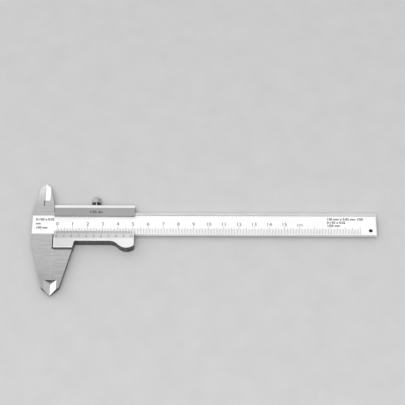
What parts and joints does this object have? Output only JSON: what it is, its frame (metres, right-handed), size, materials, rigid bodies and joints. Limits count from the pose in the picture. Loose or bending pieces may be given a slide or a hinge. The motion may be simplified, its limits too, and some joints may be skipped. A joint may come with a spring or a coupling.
{
  "type": "vernier caliper",
  "caption": "Vernier caliper with sliding and fixed jaws for outside and inside sizes, a knurled lock screw and a depth rod in the back of its graduated beam.",
  "frame": {"origin": "where the closed outside jaws meet, on the beam's centreline, in the plane of the slider's back that the caliper rests on", "axes": "+X along the beam towards its free end and the way the slider opens, +Y towards the inside jaws, +Z out of the scale face"},
  "size_m": [0.2277, 0.0837, 0.0068],
  "materials": {
    "ground_steel": "ground, brushed along the beam",
    "slider_steel": "fine ground with satin vernier face",
    "spring_bronze": "rolled strip",
    "screw_steel": "turned",
    "knurled_steel": "knurled and plated",
    "rod_steel": "ground along its length",
    "scale_chrome": "satin chrome of the scale faces",
    "scale_ink": "black filler of the engraved marks"
  },
  "bodies": {
    "beam": {"beam": "ground_steel", "stop_plate": "rod_steel", "stop_plate_screw_upper": "screw_steel", "stop_plate_screw_lower": "screw_steel"},
    "slider": {"slider": "slider_steel", "gib": "spring_bronze", "depth_rod": "rod_steel", "depth_rod_screw_left": "screw_steel", "depth_rod_screw_right": "screw_steel"},
    "lock_screw": {"lock_screw": "knurled_steel"},
    "gib_screw_left": {"gib_screw_left": "screw_steel"},
    "gib_screw_right": {"gib_screw_right": "screw_steel"}
  },
  "joints": [
    {"name": "slider_travel", "type": "slide", "parent": "beam", "child": "slider", "axis": [1, 0, 0], "range_m": [0, 0.151]},
    {"name": "lock_screw_turn", "type": "hinge", "parent": "slider", "child": "lock_screw", "pos_m": [0.0273, 0.0139, 0.0033], "axis": [0, 1, 0], "range_deg": [-90, 360]},
    {"name": "gib_screw_left_turn", "type": "hinge", "parent": "slider", "child": "gib_screw_left", "pos_m": [0.0086, 0.0139, 0.0033], "axis": [0, 1, 0], "range_deg": [-45, 90]},
    {"name": "gib_screw_right_turn", "type": "hinge", "parent": "slider", "child": "gib_screw_right", "pos_m": [0.0447, 0.0139, 0.0033], "axis": [0, 1, 0], "range_deg": [-45, 90]}
  ]
}
